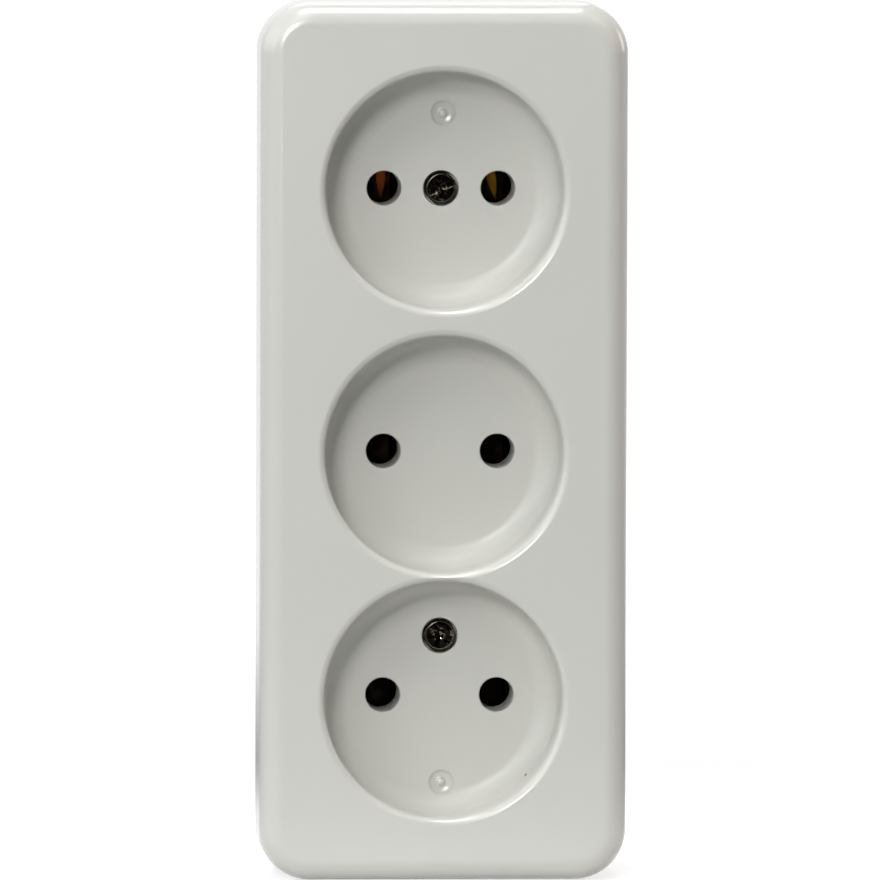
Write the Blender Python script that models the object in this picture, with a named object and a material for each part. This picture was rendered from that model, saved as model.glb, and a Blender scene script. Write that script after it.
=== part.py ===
"""Triple surface-mounted socket: a moulded cap with three dished recesses over a deep wall box.

The pieces are drawn lying on their back, as on a bench: X to the right, Y up the socket and Z
away from the wall. The function place stands each one up, so that in the world the wall is the
plane y = 0, the front faces -Y and +Z is up. All sizes are in metres.
"""

import math

import bmesh
import bpy

# Clearances
seat_gap = 0.0003            # between pieces that rest on or in each other
pin_end_clearance = 0.0004   # between the end of a plug pin and the floor of its contact

# Cover, outside
cover_width = 0.0612         # across the edge of the skirt
cover_height = 0.1460
cover_depth = 0.0150         # edge of the skirt to front face
cover_corner_radius = 0.0085
cover_edge_radius = 0.0037   # round the front face
cover_wall = 0.0022
draft_angle = math.radians(0.5)

# Recesses in the cover
top_margin = 0.0313          # top edge of the cover to the centre of the top recess
upper_pitch = 0.0438         # top recess to middle recess
lower_pitch = 0.0407         # middle recess to bottom recess
recess_radius = 0.01975
recess_depth = 0.0120
recess_rim_radius = 0.00125  # rounding where the recess meets the front face
recess_fillet = 0.0040       # hollow between the wall of the recess and its floor
recess_floor = 0.0025        # thickness of the floor
cup_wall = 0.0020
cup_fillet = 0.0050

# Ribs inside the cover, and how far each runs into the wall that it grows from
rib_thickness = 0.0016
floor_rib_thickness = 0.0014
land_web_width = 0.0120      # joins the cups where they stand close
land_web_end = 0.0100        # from the centres of the outer recesses
rib_clearance = 0.0005       # from the top of the base's walls and from the foot of a boss
cup_root = 0.0011
rib_root = 0.0007
spine_root = 0.0004
wide_rib_root = 0.0009
sleeve_root = 0.0014
boss_root = 0.0010

# Pin holes and their guide tubes
pin_spacing = 0.0190
pin_length = 0.0190          # longest plug pin, from the floor of the recess
pin_hole_radius = 0.00285
pin_hole_chamfer = 0.0003
pin_tube_wall = 0.0013
pin_tube_length = 0.0085     # below the floor of the recess

# Cover screws, their wells in the cover and their posts on the base
top_screw_offset = 0.0       # above the centre of the top recess
bottom_screw_offset = 0.0099  # above the centre of the bottom recess
screw_well_radius = 0.00297
screw_well_chamfer = 0.00015
screw_sink = 0.0005          # top of the head below the floor of the recess
screw_head_radius = 0.0026
screw_head_height = 0.0022
screw_head_rounding = 0.0005
screw_shank_radius = 0.00145
screw_shank_length = 0.0110
screw_hole_clearance = 0.0003
screw_shoulder = 0.0017      # material under the head
screw_boss_wall = 0.0014
slot_width = 0.0010
slot_depth = 0.0007
cross_radius = 0.0015
cross_width = 0.0008
cross_depth = 0.0014
top_slot_angle = math.radians(20.7)
bottom_slot_angle = math.radians(-17.0)

# Gate marks: the shallow dishes left where the cover was filled with plastic
top_gate_offset = 0.0125     # above the centre of the top recess
bottom_gate_offset = -0.0146  # from the centre of the bottom recess
gate_radius = 0.00215
gate_depth = 0.00045
gate_nub_radius = 0.0006
gate_nub_height = 0.00025

# Base
base_plate = 0.0030
base_wall = 0.0020
base_lap = 0.0070            # how far the walls reach up inside the skirt
post_wall = 0.0012
post_hole_reach = 0.0010     # depth of the hole past the end of the screw
barrier_thickness = 0.0014
barrier_height = 0.0090      # above the back plate
pad_height = 0.0016          # of the pads that carry the bars, above the back plate
station_rib = 0.0012
station_rib_drop = 0.0010    # top of the rib beside a contact, below the end of the sleeves
station_tab_height = 0.0050  # above the back plate, beside the riveted tab
station_end = 0.0016         # past the end of the contact, up and down
terminal_pad_wall = 0.0012
wall_slot_radius = 0.0023
wall_slot_length = 0.0090
wall_slot_margin = 0.0140    # end of the base to the middle of the slot
wall_slot_sink_radius = 0.0042
wall_slot_sink_depth = 0.0012
entry_radius = 0.0060        # arch of the cable entry, in the bottom wall
entry_sill = 0.0005
entry_straight = 0.0040
knockout_web = 0.0007        # wall left in the closed arch of the top wall

# Contacts, bars and rivets
strip_thickness = 0.0006
contact_width = 0.0060
contact_half_span = 0.0030   # middle of a leaf's foot from the pin's axis
contact_throat = 0.0016      # inner face of a leaf from the pin's axis
contact_mouth = 0.0027       # middle of a leaf's lip from the pin's axis
contact_bend = 0.0006
contact_lip_height = 0.0020
contact_tube_gap = 0.0004
tab_width = 0.0048
tab_length = 0.0063
rivet_offset = 0.0033        # middle of the rivet from the root of the tab
rivet_shank_radius = 0.0010
rivet_head_radius = 0.0018
rivet_head_height = 0.0006
bar_width = 0.0064
bar_thickness = 0.0008
bar_end = 0.0018             # bar past the last tab and the first contact

# Terminals
terminal_nut_side = 0.0065
terminal_nut_thickness = 0.0022
terminal_shank_radius = 0.0016
terminal_shank_reach = 0.0004  # past the nut
terminal_head_radius = 0.0030
terminal_head_height = 0.0022
terminal_slot_width = 0.0009
terminal_slot_depth = 0.0011
clamp_height = 0.0080        # up the socket; across, its lips stand beside the bar
clamp_thickness = 0.0009
clamp_lip = 0.0011

# Threaded inserts of the posts
insert_radius = 0.0021
insert_length = 0.0080
insert_groove = 0.0002
insert_bore_clearance = 0.0003

# How finely round forms are drawn
recess_steps = 48
cup_steps = 24
hole_steps = 24
small_steps = 12
corner_steps = 6
edge_steps = 5
past = 0.0010                # how far a cutter runs past the face that it cuts

# Heights above the wall, from the back plate up to the front face
pad_top = base_plate + pad_height
nut_back = pad_top - terminal_nut_thickness
bar_back = pad_top + seat_gap
bar_front = bar_back + bar_thickness
contact_back = bar_front + seat_gap
contact_floor = contact_back + strip_thickness
recess_bottom = contact_floor + pin_end_clearance + pin_length
front = recess_bottom + recess_depth
skirt_edge = front - cover_depth
roof = front - cover_wall
floor_underside = recess_bottom - recess_floor
tube_end = floor_underside - pin_tube_length
screw_seat = recess_bottom - screw_sink - screw_head_height
boss_end = screw_seat - screw_shoulder
post_top = boss_end - seat_gap
screw_end = screw_seat - screw_shank_length
base_rim = skirt_edge + base_lap
rib_low = base_rim + rib_clearance
contact_top = tube_end - contact_tube_gap
station_top = tube_end - station_rib_drop

# Places up and across the socket
top_y = cover_height / 2 - top_margin
middle_y = top_y - upper_pitch
bottom_y = middle_y - lower_pitch
pin_x = pin_spacing / 2
sockets = {"top": top_y, "middle": middle_y, "bottom": bottom_y}
sides = {"left": -pin_x, "right": pin_x}
screws = {"top": top_y + top_screw_offset, "bottom": bottom_y + bottom_screw_offset}
terminals = {"upper": (top_y + middle_y) / 2, "lower": (middle_y + bottom_y) / 2}
rivet_drop = contact_width / 2 + rivet_offset

# Plan sizes of the hollow in the cover and of the base that fits in it
draft = math.tan(draft_angle)
hollow_width = cover_width - 2 * cover_wall
hollow_height = cover_height - 2 * cover_wall
base_inset = seat_gap + base_lap * draft - base_rim * draft
base_width = hollow_width - 2 * base_inset
base_height = hollow_height - 2 * base_inset
base_corner_radius = cover_corner_radius - cover_wall - base_inset


def start_wall_frame():
    """The empty on the wall, behind the middle of the base, that every piece hangs on."""
    frame = bpy.data.objects.new("wall_frame", None)
    bpy.context.scene.collection.objects.link(frame)
    return frame


def principled(name, colour, roughness, metallic):
    """A material with one plain surface."""
    material = bpy.data.materials.new(name)
    material.use_nodes = True
    shader = material.node_tree.nodes["Principled BSDF"]
    shader.inputs["Base Color"].default_value = (*colour, 1)
    shader.inputs["Roughness"].default_value = roughness
    shader.inputs["Metallic"].default_value = metallic
    return material


def cover_plastic():
    """Glossy off-white moulding."""
    return principled("cover_plastic", (0.60, 0.60, 0.58), 0.22, 0)


def base_plastic():
    """Dark phenolic moulding, seen as black through the pin holes."""
    return principled("base_plastic", (0.022, 0.018, 0.015), 0.45, 0)


def bar_brass():
    """Rolled brass strip."""
    return principled("bar_brass", (0.72, 0.50, 0.20), 0.30, 1)


def contact_brass():
    """Springy brass of the contacts."""
    return principled("contact_brass", (0.76, 0.52, 0.22), 0.26, 1)


def rivet_brass():
    """Soft brass of the rivets and the inserts."""
    return principled("rivet_brass", (0.68, 0.48, 0.22), 0.34, 1)


def terminal_steel():
    """Zinc-plated steel of the terminals."""
    return principled("terminal_steel", (0.55, 0.56, 0.58), 0.32, 1)


def screw_nickel():
    """Dark nickel of the two cover screws."""
    return principled("screw_nickel", (0.16, 0.155, 0.15), 0.22, 1)


def place(name, bm, material=None):
    """Stand the mesh up and make an object of it.

    Without a material it is a helper that shapes another piece.
    """
    for vert in bm.verts:
        vert.co = (vert.co.x, -vert.co.z, vert.co.y)
    mesh = bpy.data.meshes.new(name)
    bm.to_mesh(mesh)
    bm.free()
    obj = bpy.data.objects.new(name, mesh)
    bpy.context.scene.collection.objects.link(obj)
    obj.parent = wall_frame
    if material:
        mesh.materials.append(material)
    else:
        obj.hide_render = True
        obj.display_type = "WIRE"
    return obj


def boolean(target, helper, operation, solver="EXACT"):
    """Join the helper to the piece or cut it away.

    The other solver, MANIFOLD, is for pieces with flat faces that already have holes in them.
    """
    modifier = target.modifiers.new(helper.name, "BOOLEAN")
    modifier.operation = operation
    modifier.solver = solver
    modifier.object = helper


def smooth(obj, angle=35):
    """Shade round faces smooth and keep real edges sharp."""
    obj.data.shade_smooth()
    obj.data.set_sharp_from_angle(angle=math.radians(angle))


def arc(centre, radius, start, end, steps):
    """Points of an arc in a section, from one angle in degrees to another."""
    points = []
    for step in range(steps + 1):
        angle = math.radians(start + (end - start) * step / steps)
        points.append((centre[0] + radius * math.cos(angle), centre[1] + radius * math.sin(angle)))
    return points


def turn(bm, section, steps, x=0.0, y=0.0, ring=False):
    """Spin a half section of (radius, height) points, listed up its outer side.

    A ring's section is a closed loop that starts on its inner side, at the foot.
    """
    verts = [bm.verts.new((x + radius, y, height)) for radius, height in section]
    edges = [bm.edges.new(pair) for pair in zip(verts, verts[1:])]
    if ring:
        edges.append(bm.edges.new((verts[-1], verts[0])))
    bmesh.ops.spin(bm, geom=verts + edges, cent=(x, y, 0), axis=(0, 0, 1),
                   angle=-math.tau, steps=steps)
    bmesh.ops.remove_doubles(bm, verts=bm.verts, dist=1e-6)


def block(bm, low, high):
    """A plain block between two corners."""
    verts = bmesh.ops.create_cube(bm, size=1)["verts"]
    for vert in verts:
        for axis in range(3):
            vert.co[axis] = low[axis] if vert.co[axis] < 0 else high[axis]
    return verts


def rounded_block(bm, width, height, low, high, corner, taper=0.0, edge=0.0):
    """A block with round corners in plan, tapered towards its front, with a round front edge."""
    verts = block(bm, (-width / 2, -height / 2, low), (width / 2, height / 2, high))
    for vert in verts:
        if vert.co.z == max(v.co.z for v in verts):
            vert.co.x -= math.copysign((high - low) * taper, vert.co.x)
            vert.co.y -= math.copysign((high - low) * taper, vert.co.y)
    uprights = [e for e in bm.edges if abs(e.verts[0].co.z - e.verts[1].co.z) > (high - low) / 2]
    bmesh.ops.bevel(bm, geom=uprights, offset=corner, offset_type="OFFSET", affect="EDGES",
                    segments=corner_steps, profile=0.5)
    if edge:
        rim = [e for e in bm.edges if min(v.co.z for v in e.verts) > high - edge / 10]
        bmesh.ops.bevel(bm, geom=rim, offset=edge, offset_type="OFFSET", affect="EDGES",
                        segments=edge_steps, profile=0.5)


def arch(bm, radius, straight, low, y_from, y_to):
    """A round-topped prism through an end wall."""
    outline = [(-radius, low), (radius, low)]
    outline += arc((0, low + straight), radius, 0, 180, small_steps // 2)
    face = bm.faces.new([bm.verts.new((x, y_from, z)) for x, z in outline])
    extruded = bmesh.ops.extrude_face_region(bm, geom=[face])["geom"]
    moved = [item for item in extruded if isinstance(item, bmesh.types.BMVert)]
    bmesh.ops.translate(bm, verts=moved, vec=(0, y_to - y_from, 0))
    bmesh.ops.recalc_face_normals(bm, faces=bm.faces)


def long_hole(bm, radius, length, y, low, high):
    """A slot with round ends, made by pulling the halves of a cylinder apart."""
    made = bmesh.ops.create_cone(bm, cap_ends=True, segments=small_steps, radius1=radius,
                                 radius2=radius, depth=high - low)
    turn_half_step = math.pi / small_steps
    for vert in made["verts"]:
        angle = math.atan2(vert.co.y, vert.co.x) + turn_half_step
        vert.co.x = radius * math.cos(angle)
        vert.co.y = radius * math.sin(angle)
        vert.co.y += y + math.copysign(length / 2 - radius, vert.co.y)
        vert.co.z += (low + high) / 2


def cover_hollow():
    """The inside of the cover, behind the front face."""
    bm = bmesh.new()
    rise = past * draft
    rounded_block(bm, hollow_width + 2 * rise, hollow_height + 2 * rise, skirt_edge - past, roof,
                  cover_corner_radius - cover_wall, draft)
    return place("cover_hollow", bm)


def recess_cup(name, y):
    """The back of one dished recess: wall and floor of even thickness."""
    bm = bmesh.new()
    radius = recess_radius + cup_wall
    section = [(0, floor_underside)]
    section += arc((radius - cup_fillet, floor_underside + cup_fillet), cup_fillet, -90, 0, 4)
    section += [(radius, roof + cup_root), (0, roof + cup_root)]
    turn(bm, section, cup_steps, y=y)
    return place(f"cup_{name}", bm)


def land_web():
    """Solid plastic between neighbouring cups, up the middle."""
    bm = bmesh.new()
    block(bm, (-land_web_width / 2, bottom_y + land_web_end, recess_bottom),
          (land_web_width / 2, top_y - land_web_end, roof + rib_root))
    return place("land_web", bm)


def spine_rib():
    """The rib up the middle, from end wall to end wall."""
    bm = bmesh.new()
    reach = hollow_height / 2 + rib_root
    block(bm, (-rib_thickness / 2, -reach, rib_low), (rib_thickness / 2, reach, roof + spine_root))
    return place("spine_rib", bm)


def cross_ribs():
    """One rib across each recess, from side wall to side wall."""
    bm = bmesh.new()
    reach = hollow_width / 2 + rib_root
    for y in sockets.values():
        block(bm, (-reach, y - rib_thickness / 2, rib_low),
              (reach, y + rib_thickness / 2, roof + wide_rib_root))
    return place("cross_ribs", bm)


def pin_tubes():
    """The sleeves that guide a plug's pins to the contacts."""
    bm = bmesh.new()
    radius = pin_hole_radius + pin_tube_wall
    root = floor_underside + sleeve_root
    section = [(0, tube_end), (radius - pin_hole_chamfer, tube_end),
               (radius, tube_end + pin_hole_chamfer), (radius, root), (0, root)]
    for y in sockets.values():
        for x in sides.values():
            turn(bm, section, small_steps, x, y)
    return place("pin_tubes", bm)


def floor_ribs():
    """A rib under each floor, from sleeve to sleeve."""
    bm = bmesh.new()
    for y in sockets.values():
        block(bm, (-pin_x, y - floor_rib_thickness / 2, boss_end + rib_clearance),
              (pin_x, y + floor_rib_thickness / 2, floor_underside + rib_root))
    return place("floor_ribs", bm)


def screw_bosses():
    """The thick rings under the floor that the screw heads pull on."""
    bm = bmesh.new()
    radius = screw_well_radius + screw_boss_wall
    root = floor_underside + boss_root
    for y in screws.values():
        turn(bm, [(0, boss_end), (radius, boss_end), (radius, root), (0, root)], hole_steps, y=y)
    return place("screw_bosses", bm)


def recess_hollow(name, y):
    """What a plug enters: flat floor, hollow fillet, drafted wall and rounded rim."""
    bm = bmesh.new()
    wall_height = recess_depth - recess_fillet - recess_rim_radius
    foot_radius = recess_radius - wall_height * draft
    rim_centre = (recess_radius + recess_rim_radius, front - recess_rim_radius)
    section = [(0, recess_bottom)]
    section += arc((foot_radius - recess_fillet, recess_bottom + recess_fillet), recess_fillet,
                   -90, 0, edge_steps)
    section += arc(rim_centre, recess_rim_radius, 180, 100, 4)
    slope = 1 / math.tan(math.radians(10))
    last_radius, last_height = section[-1]
    rise = front + recess_rim_radius / 4 - last_height
    section.append((last_radius + rise * slope, front + recess_rim_radius / 4))
    section.append((0, front + recess_rim_radius / 4))
    turn(bm, section, recess_steps, y=y)
    return place(f"recess_{name}", bm)


def pin_holes():
    """Bores through floors and sleeves, with a small lead-in."""
    bm = bmesh.new()
    section = [(0, tube_end - past), (pin_hole_radius, tube_end - past),
               (pin_hole_radius, recess_bottom - pin_hole_chamfer),
               (pin_hole_radius + 2 * pin_hole_chamfer, recess_bottom + pin_hole_chamfer),
               (0, recess_bottom + pin_hole_chamfer)]
    for y in sockets.values():
        for x in sides.values():
            turn(bm, section, hole_steps, x, y)
    return place("pin_holes", bm)


def screw_wells():
    """Sunk seats of the cover screws, with a clearance hole below."""
    bm = bmesh.new()
    hole_radius = screw_shank_radius + screw_hole_clearance
    section = [(0, boss_end - past), (hole_radius, boss_end - past),
               (hole_radius, screw_seat - seat_gap), (screw_well_radius, screw_seat - seat_gap),
               (screw_well_radius, recess_bottom - screw_well_chamfer),
               (screw_well_radius + 2 * screw_well_chamfer, recess_bottom + screw_well_chamfer),
               (0, recess_bottom + screw_well_chamfer)]
    for y in screws.values():
        turn(bm, section, hole_steps, y=y)
    return place("screw_wells", bm)


def gate_marks():
    """Two shallow dishes, each with a nub in the middle."""
    bm = bmesh.new()
    bottom = recess_bottom - gate_depth
    section = [(0, bottom + gate_nub_height), (gate_nub_radius / 2, bottom + gate_nub_height),
               (gate_nub_radius, bottom), (gate_radius - gate_depth, bottom),
               (gate_radius + gate_depth, recess_bottom + gate_depth),
               (0, recess_bottom + gate_depth)]
    for y in (top_y + top_gate_offset, bottom_y + bottom_gate_offset):
        turn(bm, section, hole_steps, y=y)
    return place("gate_marks", bm)


def build_cover():
    """The cap, one moulding with everything that faces the user."""
    bm = bmesh.new()
    rounded_block(bm, cover_width, cover_height, skirt_edge, front, cover_corner_radius, draft,
                  cover_edge_radius)
    cover = place("cover", bm, cover_plastic())
    boolean(cover, cover_hollow(), "DIFFERENCE")
    for name, y in sockets.items():
        boolean(cover, recess_cup(name, y), "UNION")
    for helper in (land_web(), spine_rib(), cross_ribs(), pin_tubes()):
        boolean(cover, helper, "UNION")
    for helper in (floor_ribs(), screw_bosses()):
        boolean(cover, helper, "UNION", "MANIFOLD")
    hollows = [recess_hollow(name, y) for name, y in sockets.items()]
    for helper in (*hollows, pin_holes(), screw_wells(), gate_marks()):
        boolean(cover, helper, "DIFFERENCE", "MANIFOLD")
    smooth(cover)


def base_hollow():
    """The open inside of the wall box."""
    bm = bmesh.new()
    shrink = 2 * (base_wall + base_plate * draft)
    rounded_block(bm, base_width - shrink, base_height - shrink, base_plate, base_rim + past,
                  base_corner_radius - base_wall, draft)
    return place("base_hollow", bm)


def station_blocks(name, top, y_low, y_high):
    """Blocks round the foot of each contact, before their channel is cut."""
    bm = bmesh.new()
    half_width = bar_width / 2 + seat_gap + station_rib
    for y in sockets.values():
        for x in sides.values():
            block(bm, (x - half_width, y + y_low, base_plate / 2),
                  (x + half_width, y + y_high, top))
    return place(name, bm)


def station_channels():
    """The way for the bar and the contact between the two ribs of a station."""
    bm = bmesh.new()
    half_width = bar_width / 2 + seat_gap
    low = -(contact_width / 2 + tab_length + station_end + past)
    high = contact_width / 2 + station_end + past
    for y in sockets.values():
        for x in sides.values():
            block(bm, (x - half_width, y + low, pad_top),
                  (x + half_width, y + high, station_top + past))
    return place("station_channels", bm)


def rivet_pockets():
    """Room for the formed ends of the rivets, in the pads under the bars."""
    bm = bmesh.new()
    radius = rivet_head_radius + seat_gap
    low = pad_top - rivet_head_height - seat_gap
    for y in sockets.values():
        for x in sides.values():
            turn(bm, [(0, low), (radius, low), (radius, pad_top + past), (0, pad_top + past)],
                 small_steps, x, y - rivet_drop)
    return place("rivet_pockets", bm)


def terminal_pads():
    """The pads that carry the bars at the terminals."""
    bm = bmesh.new()
    half = terminal_nut_side / 2 + seat_gap + terminal_pad_wall
    for y in terminals.values():
        for x in sides.values():
            block(bm, (x - half, y - half, base_plate / 2), (x + half, y + half, pad_top))
    return place("terminal_pads", bm)


def nut_pockets():
    """Square pockets that keep the terminal nuts from turning."""
    bm = bmesh.new()
    half = terminal_nut_side / 2 + seat_gap
    for y in terminals.values():
        for x in sides.values():
            block(bm, (x - half, y - half, nut_back - seat_gap), (x + half, y + half, pad_top + past))
    return place("nut_pockets", bm)


def post_radius():
    """Outer radius of a screw post."""
    return insert_radius + seat_gap + post_wall


def screw_posts():
    """The two posts that the cover is screwed to."""
    bm = bmesh.new()
    radius = post_radius()
    for y in screws.values():
        turn(bm, [(0, base_plate / 2), (radius, base_plate / 2), (radius, post_top), (0, post_top)],
             hole_steps, y=y)
    return place("screw_posts", bm)


def barrier():
    """The wall that keeps the two bars apart, from post to post."""
    bm = bmesh.new()
    block(bm, (-barrier_thickness / 2, screws["bottom"], base_plate / 2),
          (barrier_thickness / 2, screws["top"], base_plate + barrier_height))
    return place("barrier", bm)


def post_holes():
    """Stepped holes for the inserts and for the ends of the screws."""
    bm = bmesh.new()
    step = post_top - seat_gap - insert_length - seat_gap
    wide = insert_radius + seat_gap
    narrow = screw_shank_radius + screw_hole_clearance
    bottom = min(screw_end, step) - post_hole_reach
    section = [(0, bottom), (narrow, bottom), (narrow, step), (wide, step),
               (wide, post_top + past), (0, post_top + past)]
    for y in screws.values():
        turn(bm, section, hole_steps, y=y)
    return place("post_holes", bm)


def wall_slots(name, radius, low):
    """Long holes for the screws that hold the base to the wall, or their sunk seats."""
    bm = bmesh.new()
    y = base_height / 2 - wall_slot_margin
    length = wall_slot_length + 2 * (radius - wall_slot_radius)
    for place_y in (-y, y):
        long_hole(bm, radius, length, place_y, low, base_plate + past)
    return place(name, bm)


def cable_entry():
    """The open arch in the bottom wall."""
    bm = bmesh.new()
    arch(bm, entry_radius, entry_straight, base_plate + entry_sill,
         -base_height / 2 - past, -base_height / 2 + base_wall + past)
    return place("cable_entry", bm)


def knockout():
    """The same arch in the top wall, closed by a thin web that can be broken out."""
    bm = bmesh.new()
    arch(bm, entry_radius, entry_straight, base_plate + entry_sill,
         base_height / 2 - base_wall + knockout_web, base_height / 2 + past)
    return place("knockout", bm)


def build_base():
    """The wall box, one moulding that carries the metal parts."""
    bm = bmesh.new()
    rounded_block(bm, base_width, base_height, 0, base_rim, base_corner_radius, draft)
    base = place("base", bm, base_plastic())
    reach = contact_width / 2 + station_end
    boolean(base, base_hollow(), "DIFFERENCE")
    feet = station_blocks("station_feet", base_plate + station_tab_height, -reach - tab_length, 0)
    walls = station_blocks("station_walls", station_top, -reach, reach)
    for helper in (feet, walls, terminal_pads(), barrier(), screw_posts()):
        boolean(base, helper, "UNION")
    for helper in (station_channels(), rivet_pockets(), nut_pockets()):
        boolean(base, helper, "DIFFERENCE")
    sinks = wall_slots("wall_slot_sinks", wall_slot_sink_radius, base_plate - wall_slot_sink_depth)
    slots = wall_slots("wall_slots", wall_slot_radius, -past)
    for helper in (post_holes(), sinks, slots, cable_entry(), knockout()):
        boolean(base, helper, "DIFFERENCE", "MANIFOLD")
    smooth(base)


def rivet_bores():
    """Holes for the rivets, through the tabs and the bars."""
    bm = bmesh.new()
    radius = rivet_shank_radius + seat_gap
    for y in sockets.values():
        for x in sides.values():
            turn(bm, [(0, pad_top), (radius, pad_top), (radius, contact_floor + past),
                      (0, contact_floor + past)], small_steps, x, y - rivet_drop)
    return place("rivet_bores", bm)


def terminal_bores():
    """Holes for the terminal screws, through the bars, the nuts and the clamp plates."""
    bm = bmesh.new()
    radius = terminal_shank_radius + seat_gap
    high = bar_front + 2 * clamp_thickness + past
    for y in terminals.values():
        for x in sides.values():
            turn(bm, [(0, nut_back - past), (radius, nut_back - past), (radius, high), (0, high)],
                 small_steps, x, y)
    return place("terminal_bores", bm)


def build_bar(name, x, bores):
    """One stamped strip that links three contacts and two terminals."""
    bm = bmesh.new()
    low = bottom_y - contact_width / 2 - tab_length - bar_end
    high = top_y + contact_width / 2 + bar_end
    block(bm, (x - bar_width / 2, low, bar_back), (x + bar_width / 2, high, bar_front))
    uprights = [e for e in bm.edges if abs(e.verts[0].co.z - e.verts[1].co.z) > bar_thickness / 2]
    bmesh.ops.bevel(bm, geom=uprights, offset=bar_width / 4, offset_type="OFFSET", affect="EDGES",
                    segments=4, profile=0.5)
    bar = place(name, bm, bar_brass())
    for helper in bores:
        boolean(bar, helper, "DIFFERENCE")
    smooth(bar)


def contact_section():
    """Middle line of the folded strip: floor, bend, bowed leaf, throat and flared lip."""
    floor_height = contact_back + strip_thickness / 2
    bend_centre = (contact_half_span - contact_bend, floor_height + contact_bend)
    half = [(tab_width / 2, floor_height)]
    half += arc(bend_centre, contact_bend, -90, 0, 3)
    throat_x = contact_throat + strip_thickness / 2
    leaf_foot = bend_centre[1]
    leaf_top = contact_top
    throat_height = leaf_top - contact_lip_height
    for step in range(1, 6):
        share = step / 5
        ease = (1 - math.cos(math.pi * share)) / 2
        half.append((contact_half_span + (throat_x - contact_half_span) * ease,
                     leaf_foot + (throat_height - leaf_foot) * share))
    for step in range(1, 4):
        share = step / 3
        half.append((throat_x + (contact_mouth - throat_x) * share ** 2,
                     throat_height + (leaf_top - throat_height) * share))
    return [(-x, z) for x, z in reversed(half)] + half


def build_contact(name, x, y, bores):
    """One contact: a brass strip folded to two leaves, with a tab for its rivet."""
    bm = bmesh.new()
    half = contact_width / 2
    rows = []
    for px, pz in contact_section():
        rows.append((bm.verts.new((x + px, y - half, pz)), bm.verts.new((x + px, y + half, pz))))
    for row, following in zip(rows, rows[1:]):
        bm.faces.new((row[0], following[0], following[1], row[1]))
    foot = [row[0] for row in rows if abs(abs(row[0].co.x - x) - tab_width / 2) < 1e-7]
    tab = [bm.verts.new((vert.co.x, vert.co.y - tab_length, vert.co.z)) for vert in foot]
    bm.faces.new((foot[0], tab[0], tab[1], foot[1]))
    contact = place(name, bm, contact_brass())
    fold = contact.modifiers.new("strip", "SOLIDIFY")
    fold.thickness = strip_thickness
    fold.offset = 0
    fold.use_even_offset = True
    boolean(contact, bores, "DIFFERENCE")
    smooth(contact)


def build_rivet(name, x, y):
    """One rivet: a low head on the tab and a formed end under the bar."""
    bm = bmesh.new()
    head_low = contact_floor + seat_gap
    round_off = rivet_head_height / 2
    inner = rivet_head_radius - round_off
    section = [(0, pad_top - rivet_head_height), (rivet_head_radius, pad_top - rivet_head_height),
               (rivet_head_radius, pad_top), (rivet_shank_radius, pad_top),
               (rivet_shank_radius, head_low),
               (rivet_head_radius, head_low), (rivet_head_radius, head_low + round_off),
               (inner, head_low + rivet_head_height), (0, head_low + rivet_head_height)]
    turn(bm, section, small_steps, x, y - rivet_drop)
    smooth(place(name, bm, rivet_brass()))


def slot_cutter(name, x, y, angle, length, width, low, high, foot_share=1.0):
    """A driver slot, narrower in length at its foot where foot_share is under 1."""
    bm = bmesh.new()
    block(bm, (-length / 2, -width / 2, low), (length / 2, width / 2, high))
    for vert in bm.verts:
        if vert.co.z < (low + high) / 2:
            vert.co.x *= foot_share
        turned_x = vert.co.x * math.cos(angle) - vert.co.y * math.sin(angle)
        turned_y = vert.co.x * math.sin(angle) + vert.co.y * math.cos(angle)
        vert.co.x = x + turned_x
        vert.co.y = y + turned_y
    return place(name, bm)


def build_cover_screw(name, y, angle):
    """One cover screw: rounded head with a slot and a cross, over a plain shank."""
    bm = bmesh.new()
    head_top = screw_seat + screw_head_height
    section = [(0, screw_end), (screw_shank_radius * 0.7, screw_end),
               (screw_shank_radius, screw_end + screw_shank_radius * 0.3),
               (screw_shank_radius, screw_seat), (screw_head_radius, screw_seat)]
    section += arc((screw_head_radius - screw_head_rounding, head_top - screw_head_rounding),
                   screw_head_rounding, 0, 90, 3)
    section.append((0, head_top))
    turn(bm, section, hole_steps, y=y)
    screw = place(name, bm, screw_nickel())
    high = head_top + past
    length = 2 * (screw_head_radius + past)
    boolean(screw, slot_cutter(f"{name}_slot", 0, y, angle, length, slot_width,
                               head_top - slot_depth, high), "DIFFERENCE")
    for arm, turned in (("along", angle), ("across", angle + math.pi / 2)):
        boolean(screw, slot_cutter(f"{name}_{arm}", 0, y, turned, 2 * cross_radius, cross_width,
                                   head_top - cross_depth, high, 0.3), "DIFFERENCE")
    smooth(screw)


def build_insert(name, y):
    """One brass insert, pressed into its post: a threaded sleeve with a groove round it."""
    bm = bmesh.new()
    top = post_top - seat_gap
    bottom = top - insert_length
    middle = (top + bottom) / 2
    bore = screw_shank_radius + insert_bore_clearance
    waist = insert_radius - insert_groove
    half_groove = insert_length / 10
    section = [(bore, bottom), (waist, bottom), (insert_radius, bottom + insert_groove),
               (insert_radius, middle - half_groove), (waist, middle - half_groove + insert_groove),
               (waist, middle + half_groove - insert_groove), (insert_radius, middle + half_groove),
               (insert_radius, top - insert_groove), (waist, top), (bore, top)]
    turn(bm, section, small_steps, y=y, ring=True)
    smooth(place(name, bm, rivet_brass()))


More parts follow.
